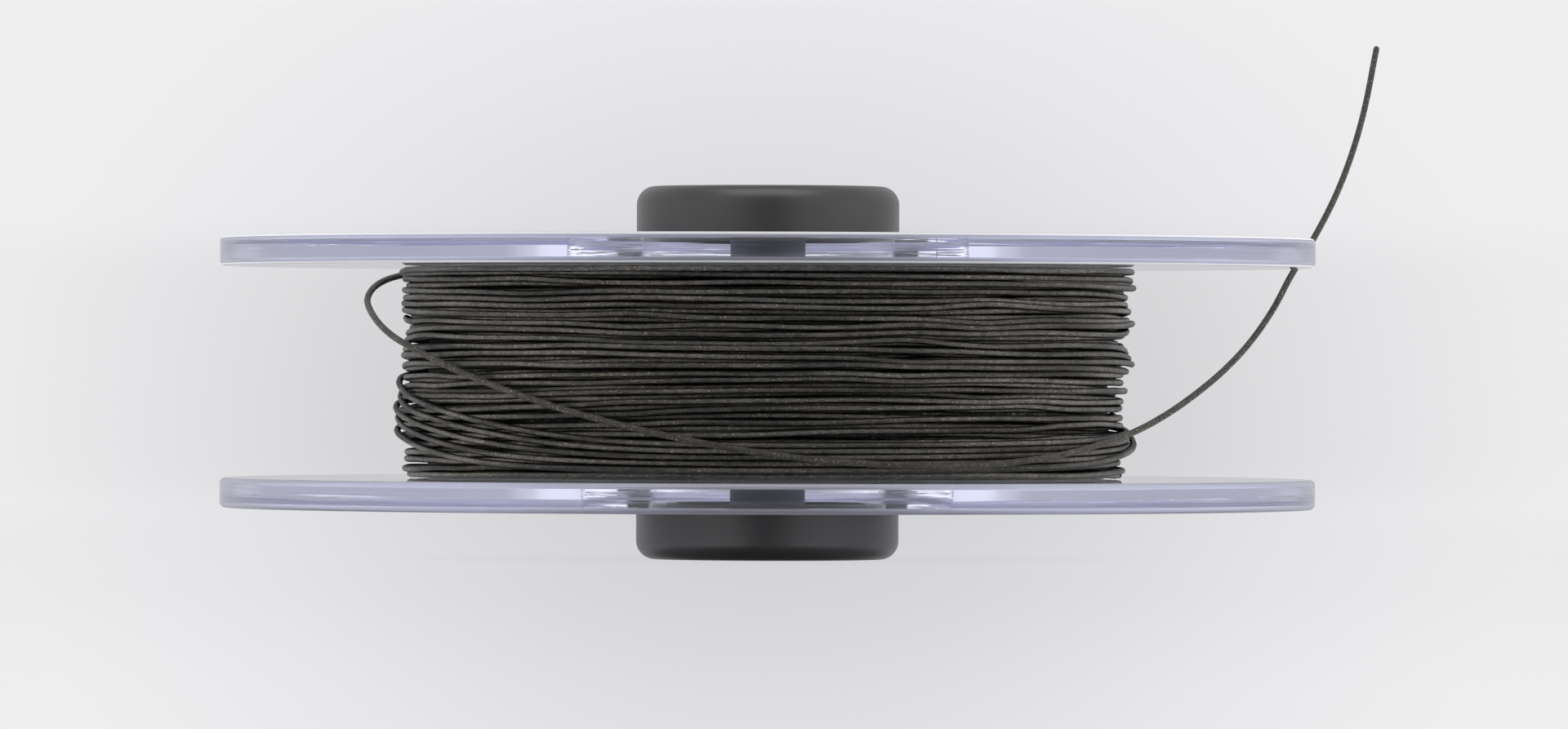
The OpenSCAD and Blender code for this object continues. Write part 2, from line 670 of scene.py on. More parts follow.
def distances(line: np.ndarray) -> np.ndarray:
    """How far along a line each of its points lies."""
    gaps = np.linalg.norm(np.diff(line, axis=0), axis=1)
    return np.concatenate([[0], np.cumsum(gaps)])


def strand(
    name: str,
    line: np.ndarray,
    radius: float,
    sides: int,
    finish: bpy.types.Material,
    domed: bool = False,
) -> bpy.types.Object:
    """A round string along a line that never runs straight up.

    Args:
        name: The piece's name.
        line: Centreline in millimetres, one row a point.
        radius: The string's radius in millimetres.
        sides: Faces around the string.
        finish: The material.
        domed: Whether the far end is rounded over.

    Returns:
        The new object, closed at both ends, with UVs around and along it.
    """
    along = np.gradient(line, axis=0)
    along /= np.linalg.norm(along, axis=1)[:, None]
    across = np.cross(along, (0.0, 0.0, 1.0))
    across /= np.linalg.norm(across, axis=1)[:, None]
    up = np.cross(across, along)
    girth = np.full(len(line), radius)
    if domed:
        # Four more rings close in over the end, half a radian apart
        bend = 0.5 * np.arange(4)
        line = np.vstack([line, line[-1] + np.outer(radius * np.sin(bend), along[-1])])
        girth = np.concatenate([girth, radius * np.cos(bend)])
        across = np.vstack([across, np.repeat(across[-1:], 4, axis=0)])
        up = np.vstack([up, np.repeat(up[-1:], 4, axis=0)])
    turn = 2 * np.pi * np.arange(sides) / sides
    corners = line[:, None, :] + girth[:, None, None] * (
        np.cos(turn)[None, :, None] * across[:, None, :]
        + np.sin(turn)[None, :, None] * up[:, None, :]
    )
    rings = len(line)
    ring = np.repeat(np.arange(rings - 1), sides)
    side = np.tile(np.arange(sides), rings - 1)
    beside = (side + 1) % sides
    quads = np.stack(
        [
            ring * sides + side,
            ring * sides + beside,
            (ring + 1) * sides + beside,
            (ring + 1) * sides + side,
        ],
        axis=1,
    )
    first = list(range(sides))[::-1]
    last = [(rings - 1) * sides + k for k in range(sides)]
    mesh = bpy.data.meshes.new(name)
    mesh.from_pydata(
        (corners.reshape(-1, 3) * MM).tolist(), [], quads.tolist() + [first, last]
    )
    run = distances(line) * MM
    share = np.stack(
        [side / sides, (side + 1) / sides, (side + 1) / sides, side / sides], axis=1
    )
    length = np.stack([run[ring], run[ring], run[ring + 1], run[ring + 1]], axis=1)
    coords = np.stack([share, length], axis=2).reshape(-1, 2)
    coords = np.vstack([coords, np.zeros((2 * sides, 2))])
    layer = mesh.uv_layers.new(name="UVMap")
    layer.data.foreach_set("uv", coords.astype(np.float32).ravel())
    mesh.shade_smooth()
    mesh.set_sharp_from_angle(angle=math.radians(60))
    return new_object(name, mesh, finish)


# ---- Studio ----


@dataclass
class Studio:
    """Camera, world, lamps and the pale floor that the reel stands on."""

    camera_place: Point = (0.00176, -1.327, 0.0210)
    lens: float = 282.6
    roll: float = 0.0026
    floor_rings: tuple[float, ...] = (0.1, 0.2, 0.35, 0.6)
    floor_steps: int = 96
    floor_fade: float = 0.12
    floor_share: float = 0.06
    floor_colour: Colour = (0.5, 0.5, 0.51)
    ambient: float = 0.14
    ambient_beside: float = 0.16
    ambient_colour: Colour = (1.0, 1.0, 1.02)
    deep_gloss: Colour = (0.12, 0.12, 0.12)
    bounces: int = 32
    # The backdrop's paleness away from its middle, from 0 there to 1 at the reach; its darker
    # middle is painted shade around the reel
    backdrop: list[tuple[float, Colour]] = field(
        default_factory=lambda: [
            (0.0, screen(211, 211, 214)),
            (0.16, screen(213, 213, 216)),
            (0.36, screen(219, 219, 222)),
            (0.55, screen(226, 226, 228)),
            (0.68, screen(231, 231, 233)),
            (0.84, screen(235, 235, 237)),
            (1.0, screen(238, 238, 239)),
        ]
    )
    # It is laid out on a fine square grid of directions. In steps of that grid: its
    # middle, how far its darkest part lies below that, and the reach; the width is a ratio
    backdrop_middle: tuple[float, float] = (-20.0, -10.0)
    backdrop_width: float = 1.3
    backdrop_drop: float = 90.0
    backdrop_reach: float = 724.0
    # The band of shade beside the reel: where it fades out, its height and its depth
    band_fade: tuple[float, float] = (480.0, 1080.0)
    band_height: float = 165.0
    band_depth: float = 0.115
    grid: float = 0.08806 / 1327
    # The room level with the reel, as clear plastic shows it
    level_room: Stops = field(
        default_factory=lambda: [
            (0, 0.66, 1.02), (12.5, 0.66, 1.02), (14.5, 1.3, 1.0), (17.4, 1.3, 1.0),
            (18.1, 0.98, 1.0), (19.3, 0.86, 1.02), (20.8, 0.63, 1.05), (60, 0.6, 1.06),
            (66, 0.74, 1.02), (73, 0.74, 1.02),
            (79, 0.56, 1.02), (93, 0.56, 1.02), (104, 0.9, 1.02), (128, 1.1, 1.02),
            (180, 1.0, 1.06),
        ]
    )
    # The same a little higher and a little lower, as shown through the middle holes
    hole_above: Stops = field(
        default_factory=lambda: [
            (0, 0.36, 1.02), (30, 0.36, 1.02), (48, 0.4, 1.02), (80, 0.4, 1.02),
        ]
    )
    hole_below: Stops = field(
        default_factory=lambda: [
            (0, 0.5, 1.02), (16, 0.56, 1.02), (28, 0.9, 1.0), (40, 1.15, 1.0), (80, 1.15, 1.0),
        ]
    )
    # The room well above and below the reel
    tall_room: Stops = field(
        default_factory=lambda: [
            (0, 1.0, 1.04), (64, 0.95, 1.04), (70, 0.14, 1.04), (89, 0.14, 1.04),
            (96, 0.7, 1.04), (104, 0.72, 1.04), (128, 1.1, 1.02), (180, 1.0, 1.02),
        ]
    )
    # What gloss mirrors of the room, from above and from below
    mirrored_above: Stops = field(
        default_factory=lambda: [
            (0, 0.6, 1.03), (60, 0.62, 1.03), (104, 0.72, 1.02), (122, 1.15, 1.02),
            (152, 1.15, 1.02), (166, 0.5, 1.02), (180, 0.35, 1.02),
        ]
    )
    mirrored_below: Stops = field(
        default_factory=lambda: [
            (0, 0.6, 1.03), (60, 0.8, 1.03), (104, 1.05, 1.02), (118, 1.5, 1.02),
            (155, 1.5, 1.02), (168, 0.45, 1.02), (180, 0.3, 1.02),
        ]
    )
    # Heights of a direction, as its sine, where one room gives way to the next
    level_end: tuple[float, float] = (0.0135, 0.0165)
    hole_end: tuple[float, float] = (0.04, 0.0365)
    tall_start: tuple[float, float] = (0.12, 0.3)
    deep_start: tuple[float, float] = (-0.3, -0.6)
    # The rays off a hole's wall: the angle in degrees that they leave at, level with the
    # reel, and how much of it they lose for each unit of height
    hole_angle: float = 94.0
    hole_slope: float = 4941.0
    hole_blur: float = 3.0

    def build(self) -> None:
        """Makes the whole studio."""
        self.camera()
        self.world()
        self.floor()
        self.lamps()
        paths = bpy.context.scene.cycles
        paths.max_bounces = self.bounces
        paths.transmission_bounces = self.bounces
        paths.glossy_bounces = self.bounces
        bpy.context.scene.view_settings.view_transform = "Standard"

    def camera(self) -> None:
        """Sets the camera level with the reel, looking along +Y."""
        data = bpy.data.cameras.new("camera")
        data.lens = self.lens
        data.sensor_width = 36.0
        data.clip_start = 0.05
        data.clip_end = 20.0
        camera = bpy.data.objects.new("camera", data)
        camera.location = self.camera_place
        camera.rotation_euler = (math.pi / 2, -self.roll, 0.0)
        bpy.context.scene.collection.objects.link(camera)
        bpy.context.scene.camera = camera

    def halo(self, shader: Shader, split: bpy.types.Node) -> bpy.types.NodeSocket:
        """The pale backdrop, with painted shade that makes it a little darker behind the reel.

        Args:
            shader: The world's node helper.
            split: The direction's parts.

        Returns:
            The backdrop's colour.
        """
        ahead = shader.calc("MAXIMUM", split.outputs["Y"], 0.05)
        side = shader.calc("DIVIDE", split.outputs["X"], ahead)
        rise = shader.calc("DIVIDE", split.outputs["Z"], ahead)
        middle_side, middle_rise = self.backdrop_middle
        side = shader.calc("MULTIPLY_ADD", side, 1 / self.grid, -middle_side)
        rise = shader.calc("MULTIPLY_ADD", rise, 1 / self.grid, -middle_rise)
        wide = shader.calc("POWER", shader.calc("DIVIDE", side, self.backdrop_width), 2.0)
        tall = shader.calc("POWER", shader.calc("ADD", rise, self.backdrop_drop), 2.0)
        reach = shader.calc("SQRT", shader.calc("ADD", wide, tall))
        # Painted shade: the backdrop darkens towards the reel
        pale = shader.ramp(
            shader.calc("DIVIDE", reach, self.backdrop_reach), self.backdrop
        )
        near = shader.remap(shader.calc("ABSOLUTE", side), self.band_fade, (1.0, 0.0))
        share = shader.calc("ABSOLUTE", shader.calc("DIVIDE", rise, self.band_height))
        flat = shader.calc("MULTIPLY", shader.calc("POWER", share, 8.0), -1.0)
        shade = shader.calc("MULTIPLY", near, shader.calc("EXPONENT", flat))
        bright = shader.calc("MULTIPLY_ADD", shade, -self.band_depth, 1.0)
        return shader.scaled(pale, bright)

    def turn_from_behind(
        self, shader: Shader, split: bpy.types.Node
    ) -> bpy.types.NodeSocket:
        """A direction's angle from straight behind the reel.

        Args:
            shader: The world's node helper.
            split: The direction's parts.

        Returns:
            The angle as a share of a half turn, the same to the left and right.
        """
        width = shader.calc("ABSOLUTE", split.outputs["X"])
        turn = shader.calc("ARCTAN2", width, split.outputs["Y"])
        return shader.calc("DIVIDE", turn, math.pi)

    def surroundings(self, shader: Shader, split: bpy.types.Node) -> bpy.types.NodeSocket:
        """What clear plastic shows of the room, by direction from +Y.

        Args:
            shader: The world's node helper.
            split: The direction's parts.

        Returns:
            The room's colour.
        """
        share = self.turn_from_behind(shader, split)
        rise = shader.calc("MULTIPLY_ADD", split.outputs["Z"], 60.0, 0.5, clamp=True)
        height = shader.calc("ABSOLUTE", split.outputs["Z"])
        level = self.room_ramp(shader, share, self.level_room)
        raised = self.two_rooms(
            shader, share, rise, self.raised_room(60.0, 0.1), self.raised_room(70.0, 0.02)
        )
        room = shader.blend(self.step(shader, height, self.level_end), level, raised)
        # Rays that pass through a hole leave further up or down than those off its wall
        line = shader.calc("MULTIPLY_ADD", height, -self.hole_slope, self.hole_angle)
        beyond = shader.calc("MULTIPLY_ADD", share, 180.0, line)
        through = shader.calc(
            "MULTIPLY",
            self.step(shader, beyond, (self.hole_blur, -self.hole_blur)),
            self.step(shader, height, self.hole_end),
        )
        hole = self.two_rooms(shader, share, rise, self.hole_below, self.hole_above)
        room = shader.blend(through, room, hole)
        tall = self.room_ramp(shader, share, self.tall_room)
        return shader.blend(self.step(shader, height, self.tall_start), room, tall)

    def mirrored(self, shader: Shader, split: bpy.types.Node) -> bpy.types.NodeSocket:
        """What gloss mirrors of the room: pale at the sides, dark in front and far below.

        Args:
            shader: The world's node helper.
            split: The direction's parts.

        Returns:
            The room's colour.
        """
        share = self.turn_from_behind(shader, split)
        rise = shader.calc("MULTIPLY_ADD", split.outputs["Z"], 4.0, 0.5, clamp=True)
        room = self.two_rooms(shader, share, rise, self.mirrored_below, self.mirrored_above)
        deep = self.step(shader, split.outputs["Z"], self.deep_start)
        return shader.blend(deep, room, self.deep_gloss)

    def two_rooms(
        self,
        shader: Shader,
        share: bpy.types.NodeSocket,
        rise: bpy.types.NodeSocket,
        below: Stops,
        above: Stops,
    ) -> bpy.types.NodeSocket:
        """A room that differs above and below.

        Args:
            shader: The world's node helper.
            share: Angle from straight behind the reel, as a share of a half turn.
            rise: 0 below and 1 above.
            below: Stops of the room below.
            above: Stops of the room above.

        Returns:
            The colour.
        """
        low = self.room_ramp(shader, share, below)
        high = self.room_ramp(shader, share, above)
        return shader.blend(rise, low, high)

    def step(
        self, shader: Shader, value: bpy.types.NodeSocket, ends: tuple[float, float]
    ) -> bpy.types.NodeSocket:
        """A smooth step from 0 to 1.

        Args:
            shader: The world's node helper.
            value: What the step depends on.
            ends: Where it leaves 0 and where it reaches 1, in either order.

        Returns:
            The step's value.
        """
        result = (0.0, 1.0) if ends[0] < ends[1] else (1.0, 0.0)
        return shader.remap(value, (min(ends), max(ends)), result, smooth=True)

    def raised_room(self, dark_from: float, dark: float) -> Stops:
        """The room as seen a few degrees up or down.

        Args:
            dark_from: Angle in degrees where the dark part at the side begins.
            dark: Brightness of the dark part.

        Returns:
            The room.
        """
        return [
            (0, 1.2, 1.0), (12, 1.6, 1.0), (dark_from - 12, 1.6, 1.0), (dark_from, 1.3, 1.0),
            (dark_from + 3, dark, 1.0), (91, dark, 1.0), (96, 0.7, 1.02), (104, 0.9, 1.02),
            (128, 1.1, 1.02), (180, 1.0, 1.06),
        ]

    def room_ramp(
        self, shader: Shader, share: bpy.types.NodeSocket, stops: Stops
    ) -> bpy.types.NodeSocket:
        """The room's brightness around the reel.

        Args:
            shader: The world's node helper.
            share: Angle from straight behind the reel, as a share of a half turn.
            stops: The room.

        Returns:
            The colour.
        """
        places = [(turn / 180, (level, level, blue * level)) for turn, level, blue in stops]
        return shader.ramp(share, places)

    def world(self) -> None:
        """Lights the scene softly and gives the camera and the plastics a pale room."""
        world = bpy.data.worlds.new("room")
        world.use_nodes = True
        bpy.context.scene.world = world
        shader = Shader(world.node_tree)
        split = shader.add("SeparateXYZ")
        shader.fill(split, Vector=shader.add("TexCoord").outputs["Generated"])
        path = shader.add("LightPath").outputs
        beside = shader.calc("ABSOLUTE", split.outputs["X"])
        level = shader.calc("MULTIPLY_ADD", beside, self.ambient_beside, self.ambient)
        surface = self.background(shader, self.ambient_colour, level)
        views = (
            ("Is Glossy Ray", self.mirrored(shader, split)),
            ("Is Transmission Ray", self.surroundings(shader, split)),
            ("Is Camera Ray", self.halo(shader, split)),
        )
        for ray, colour in views:
            surface = shader.mix(path[ray], surface, self.background(shader, colour, 1.0))
        shader.fill(shader.add("OutputWorld"), Surface=surface)

    def background(
        self, shader: Shader, colour: object, strength: object
    ) -> bpy.types.NodeSocket:
        """A Background shader of one colour or socket and one strength."""
        node = shader.fill(shader.add("Background"), Color=colour, Strength=strength)
        return node.outputs[0]

    def floor(self) -> None:
        """A pale round floor that fades out and holds the reel's soft shadow."""
        steps = self.floor_steps
        angles = [2 * math.pi * k / steps for k in range(steps)]
        work = bmesh.new()
        middle = work.verts.new((0.0, 0.0, 0.0))
        rings = []
        for r in self.floor_rings:
            corners = [(r * math.cos(a), r * math.sin(a), 0.0) for a in angles]
            rings.append([work.verts.new(corner) for corner in corners])
        for k in range(steps):
            work.faces.new((middle, rings[0][k], rings[0][(k + 1) % steps]))
        for ring, beyond in zip(rings, rings[1:]):
            for k in range(steps):
                m = (k + 1) % steps
                work.faces.new((ring[k], beyond[k], beyond[m], ring[m]))
        mesh = bpy.data.meshes.new("floor")
        work.to_mesh(mesh)
        work.free()
        new_object("floor", mesh, self.floor_finish())

    def floor_finish(self) -> bpy.types.Material:
        """The floor's material.

        Returns:
            Pale and matt near the reel, and clear towards the floor's edge.
        """
        material, shader = new_material("pale_floor")
        reach = shader.add("VectorMath", operation="LENGTH")
        shader.join(reach.inputs, (shader.object_place(),))
        fade = shader.remap(
            reach.outputs["Value"],
            (self.floor_fade, self.floor_rings[-1]),
            (1.0, 0.0),
            smooth=True,
        )
        path = shader.add("LightPath").outputs
        indirect = shader.calc("MAXIMUM", path["Is Glossy Ray"], path["Is Transmission Ray"])
        seen = shader.calc("MAXIMUM", path["Is Camera Ray"], indirect)
        thin = shader.calc("MULTIPLY", fade, self.floor_share)
        share = shader.add("Mix", data_type="FLOAT")
        sockets = [share.inputs[number] for number in (0, 2, 3)]
        shader.join(sockets, (seen, fade, thin))
        matt = shader.fill(shader.add("BsdfDiffuse"), Color=self.floor_colour)
        clear = shader.add("BsdfTransparent")
        surface = shader.mix(share.outputs[0], clear.outputs[0], matt.outputs[0])
        shader.fill(shader.add("OutputMaterial"), Surface=surface)
        return material

    def lamp(
        self,
        name: str,
        place: Point,
        target: Point,
        size: tuple[float, float],
        power: float,
        mirrored: bool = True,
    ) -> None:
        """Adds one soft rectangular lamp.

        Args:
            name: The lamp's name.
            place: Where it stands, in metres.
            target: The point that it faces.
            size: Its width and height in metres.
            power: Its power in watts.
            mirrored: Whether gloss shows the lamp itself.
        """
        data = bpy.data.lights.new(name, "AREA")
        data.shape = "RECTANGLE"
        data.size, data.size_y = size
        data.energy = power
        lamp = bpy.data.objects.new(name, data)
        lamp.location = place
        gap = [t - p for t, p in zip(target, place)]
        flat = math.hypot(gap[0], gap[1])
        lamp.rotation_euler = (
            math.atan2(flat, -gap[2]),
            0.0,
            math.atan2(gap[1], gap[0]) - math.pi / 2,
        )
        lamp.visible_camera = False
        lamp.visible_transmission = False
        lamp.visible_glossy = mirrored
        bpy.context.scene.collection.objects.link(lamp)

    def lamps(self) -> None:
        """Soft boxes at both sides and a wide one overhead."""
        middle = (0.0, 0.0, 0.02)
        wide, square = (0.6, 0.24), (0.9, 0.9)
        self.lamp("left_box", (-0.8, -0.1, 0.08), middle, wide, 7.3, mirrored=False)
        self.lamp("right_box", (0.8, -0.1, 0.08), middle, wide, 8.1, mirrored=False)
        self.lamp("top_box", (0.0, -0.25, 0.95), middle, square, 4.4)


# ---- The string ----


@dataclass
class LooseString:
    """The free end: a slack loop, a run across the front and a tail that rises."""

    diameter: float = 0.7
    turn_radius: float = 38.95
    exit_angle: float = 150.0
    exit_height: float = 31.05
    length: float = 225.1
    step: float = 0.5
    sides: int = 12
    route: list[Point] = field(
        default_factory=lambda: [
            (-37.4, 13, 31), (-39.6, 8.6, 30.6), (-41.4, 4.6, 30), (-42.6, 1.2, 29.1),
            (-43.1, -2, 27.9), (-42.6, -6, 26.6), (-41.4, -10.4, 25.1), (-39.8, -14.2, 23.8),
            (-38.2, -17, 22.9), (-36.4, -19.4, 22), (-34.4, -21.8, 21), (-32.2, -24, 20),
            (-29.4, -26.9, 18.9), (-25.8, -30.3, 17.6), (-21, -33.8, 16.1),
            (-15.7, -36.6, 14.7), (-10, -38.5, 13.4), (-4.2, -39.6, 12.3),
            (1.8, -39.75, 11.4), (7.8, -39, 10.8), (13.7, -37.3, 10.5), (19.2, -34.8, 10.4),
            (24.2, -31.6, 10.6), (28.6, -27.7, 11.1), (32.4, -23.3, 11.8),
            (35.9, -18.2, 12.8), (39.4, -12.8, 14), (42.7, -7.4, 15.7), (45.9, -2, 17.8),
            (49.2, 3.2, 20.4), (52.2, 8.4, 23.4), (54.9, 13.2, 27), (57.1, 17.6, 30.8),
            (59.8, 23.6, 34.9), (62.5, 31.2, 39.6), (64.7, 39, 44.5), (66.5, 46.8, 49.8),
            (68.2, 55.6, 56.6),
        ]
    )

    def onward(self) -> np.ndarray:
        """The direction in which the winding's last turn runs into the free string."""
        angle = math.radians(self.exit_angle)
        return np.array((-math.sin(angle), math.cos(angle), 0.0))

    def exit_point(self) -> np.ndarray:
        """Where the string leaves the winding.

        Returns:
            The point in millimetres.
        """
        angle = math.radians(self.exit_angle)
        out = np.array((math.cos(angle), math.sin(angle), 0.0))
        beside = self.turn_radius * out + self.diameter * self.onward()
        return beside + (0, 0, self.exit_height)

    def build(self, finish: bpy.types.Material) -> bpy.types.Object:
        """Makes the free string.

        Args:
            finish: The string's material.

        Returns:
            The piece.
        """
        start = self.exit_point()
        beyond = start + self.diameter * self.onward()
        points = np.vstack([start, beyond, np.array(self.route)])
        line = smooth_line(points, self.step)
        piece = strand("free_string", line, self.diameter / 2, self.sides, finish, domed=True)
        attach(piece, Body.SPOOL.value)
        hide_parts("loose_string")
        LOG.info("free string: %.1f mm long", distances(line)[-1])
        return piece


@dataclass
class WoundString:
    """The string on the drum: four layers of turns laid one over the other."""

    diameter: float = 0.7
    squeeze: float = 0.04
    low: float = 9.15
    high: float = 31.05
    drum_radius: float = 17.0
    ground_radius: float = 37.4
    core_gap: float = 0.2
    end_gap: float = 0.02
    plain_layers: int = 3
    pitch: float = 0.88
    flat_turns: float = 0.8
    stray: float = 0.16
    small_gaps: int = 60
    parting_edge: float = 0.12
    parting_reach: float = 2.4
    neighbours: int = 75
    bridge: int = 3
    bridge_share: float = 0.65
    softness: float = 4.0
    samples: int = 240
    third_layer_radius: float = 38.47
    top_radius: float = 39.05
    exit_angle: float = 150.0
    exit_radius: float = 38.95
    slack_count: int = 5
    slack_sizes: tuple[float, ...] = (0.5, 0.12, 0.1, 0.05, 0.45)
    slack_angle: float = 182.0
    slack_reach: float = 12.0
    sides: int = 8
    seed: int = 11
    heights: list[np.ndarray] = field(default_factory=list)
    radii: list[np.ndarray] = field(default_factory=list)
    # The sway that turns share: its size, waves a turn, start and drift with height
    sways: tuple[tuple[float, ...], ...] = (
        (0.34, 1.0, 0.0, 5.0), (0.2, 2.0, 1.3, 9.0), (0.1, 3.0, 2.1, -7.0),
    )
    # The first and the last slack turn, as angle from +X and height. Three more lie
    # between them, and all dip across the left of the front
    first_slack: list[tuple[float, float]] = field(
        default_factory=lambda: [
            (155, 20.0), (170, 19.9), (180, 19.4), (188.5, 18.0), (201, 16.7), (209, 15.9),
            (216.6, 15.1), (222, 14.6), (231, 13.7), (239.5, 13.1), (247, 12.8),
            (255, 12.55), (275, 12.5), (300, 12.6), (330, 12.9),
        ]
    )
    last_slack: list[tuple[float, float]] = field(
        default_factory=lambda: [
            (155, 14.6), (170, 14.4), (180, 14.0), (188, 13.2), (197, 12.3), (206, 11.5),
            (214, 10.8), (222, 10.4), (231, 10.15), (239.5, 10.0), (247, 9.95),
            (255, 9.9), (275, 9.9), (300, 10.05), (330, 10.4),
        ]
    )
    # The rise over the back to the exit, as degrees after the last slack turn's start
    last_rise: list[tuple[float, float]] = field(
        default_factory=lambda: [
            (360, 12.4), (380, 15.2), (410, 20.5), (435, 25.0), (460, 28.7), (485, 30.7),
            (510, 31.05),
        ]
    )
    # Places where the turns lie apart: angle, height, half length in degrees, half gap
    partings: list[tuple[float, float, float, float]] = field(
        default_factory=lambda: [
            (2, 23.4, 13, 0.62), (-4, 15.2, 12, 0.45), (292, 22.7, 7, 0.3),
            (305, 26.0, 7, 0.3), (248, 25.7, 8, 0.28), (238, 21.6, 10, 0.25),
            (283, 18.6, 9, 0.25), (262, 13.2, 9, 0.2), (180, 25.0, 9, 0.4),
        ]
    )

    def wander(self, angles: np.ndarray, rng: np.random.Generator) -> np.ndarray:
        """A smooth random offset along a winding.

        Args:
            angles: Total angle in degrees at each sample.
            rng: The random source.

        Returns:
            The offset at each sample.
        """
        total = np.zeros_like(angles)
        for period in (31.0, 47.0, 70.0, 110.0, 163.0, 251.0, 397.0, 611.0, 1130.0):
            share = self.stray * rng.uniform(0.25, 0.6) * min(1.0, period / 90.0)
            total += share * np.sin(2 * np.pi * angles / period + rng.uniform(0, 2 * np.pi))
        return total

    def common_sway(self, angles: np.ndarray, heights: np.ndarray) -> np.ndarray:
        """The sway that neighbouring turns share, none at the flanges.

        Args:
            angles: Total angle in degrees at each sample.
            heights: Height of each sample before the sway.

        Returns:
            The offset at each sample.
        """
        share = (heights - self.low) / (self.high - self.low)
        room = np.sin(np.pi * np.clip(share, 0, 1)) ** 0.7
        turn = np.radians(angles)
        total = np.zeros_like(angles)
        for size, waves, start, drift in self.sways:
            total += size * np.sin(waves * turn + start + drift * share)
        return room * total

    def parted(
        self, angles: np.ndarray, heights: np.ndarray, places: list[tuple[float, ...]]
    ) -> np.ndarray:
        """Moves turns apart around some places, as where a turn below crosses.

        Args:
            angles: Angle from +X in degrees at each sample.
            heights: Height of each sample.
            places: Angle, height, half length in degrees and half gap of each place.

        Returns:
            The new heights.
        """
        moved = heights.copy()
        for angle, height, reach, gap in places:
            away = (np.mod(angles - angle + 180, 360) - 180) / reach
            level = heights - height
            fade = np.exp(-((level / self.parting_reach) ** 2))
            push = np.tanh(level / self.parting_edge) * fade
            moved += gap * push * np.exp(-(away**2))
        return moved

    def random_partings(
        self, rng: np.random.Generator
    ) -> list[tuple[float, float, float, float]]:
        """Small gaps between turns, spread around the winding.

        Args:
            rng: The random source.

        Returns:
            Angle, height, half length in degrees and half gap of each place.
        """
        return [
            (
                rng.uniform(0, 360),
                rng.uniform(self.low + 1, self.high - 1),
                rng.uniform(5, 16),
                rng.uniform(0.08, 0.24),
            )
            for _ in range(self.small_gaps)
        ]

    def settle(self, heights: np.ndarray) -> np.ndarray:
        """How far out a turn comes to lie on the turns before it.

        Args:
            heights: The turn's height at each sample around the reel.

        Returns:
            Its radius at each sample.
        """
        touch = self.diameter - self.squeeze
        radius = np.zeros(self.samples)
        if self.heights:
            before = np.array(self.heights[-self.neighbours :])
            under = np.array(self.radii[-self.neighbours :])
            apart = heights[None, :] - before
            rest = under + np.sqrt(np.maximum(touch**2 - apart**2, 0.0))
            radius = np.where(np.abs(apart) < touch, rest, 0.0).max(axis=0)
        return radius

    def smoothed(self, values: np.ndarray, width: float) -> np.ndarray:
        """Values smoothed along the string.

        Args:
            values: One value a sample.
            width: The smoothing's spread in samples.

        Returns:
            The smoothed values.
        """
        reach = int(3 * width)
        weights = np.exp(-0.5 * (np.arange(-reach, reach + 1) / width) ** 2)
        padded = np.pad(values, reach, mode="edge")
        return np.convolve(padded, weights / weights.sum(), mode="valid")

    def lay(self, heights: np.ndarray, ground: float) -> np.ndarray:
        """Lays one layer over the layers before it.

        Args:
            heights: Height of each sample, a whole number of turns from angle 0.
            ground: Radius of what lies under the first layer.

        Returns:
            The radius at each sample.
        """
        turns = len(heights) // self.samples
        first = len(self.radii)
        for turn in range(turns):
            part = heights[turn * self.samples : (turn + 1) * self.samples]
            radius = np.maximum(self.settle(part), ground)
            self.heights.append(part)
            self.radii.append(radius)
        raw = np.concatenate(self.radii[first:])
        # A taut string spans the dips between the turns that it lies on
        span = self.bridge
        wide = np.max([np.roll(raw, k) for k in range(-span, span + 1)], axis=0)
        wide[:span], wide[-span:] = raw[:span], raw[-span:]
        mean = (1 - self.bridge_share) * raw + self.bridge_share * wide
        final = self.smoothed(mean, self.softness)
        for turn in range(turns):
            self.radii[first + turn] = final[turn * self.samples : (turn + 1) * self.samples]
        return final

    def plain_layer(self, number: int, rng: np.random.Generator) -> np.ndarray:
        """Heights of one full layer.

        Args:
            number: The layer's number; even ones climb and odd ones come down.
            rng: The random source.

        Returns:
            The height at each sample.
        """
        turns = int((self.high - self.low) / self.pitch)
        count = turns * self.samples
        run = np.arange(count) / self.samples - self.flat_turns
        share = np.clip(run / (turns - 2 * self.flat_turns), 0, 1)
        climb = share if number % 2 == 0 else 1 - share
        heights = self.low + (self.high - self.low) * climb
        angles = 360.0 * np.arange(count) / self.samples
        heights = heights + self.common_sway(angles, heights) + self.wander(angles, rng)
        heights = self.parted(angles, heights, self.random_partings(rng))
        return np.clip(heights, self.low, self.high)

    def slack_turns(self) -> np.ndarray:
        """The slack turns and the rise to the exit.

        Returns:
            Degrees before the exit and height, one row each.
        """
        first, last = np.array(self.first_slack), np.array(self.last_slack)
        start = -self.exit_angle - 360.0 * (self.slack_count + 1)
        knots = []
        for turn in range(self.slack_count):
            share = turn / (self.slack_count - 1)
            for angle, _ in self.first_slack:
                high = np.interp(angle, first[:, 0], first[:, 1])
                low = np.interp(angle, last[:, 0], last[:, 1])
                knots.append((start + angle + 360 * turn, high + (low - high) * share))
        begin = start + 360 * (self.slack_count - 1)
        knots.extend((begin + angle, height) for angle, height in self.last_rise)
        return np.array(knots)

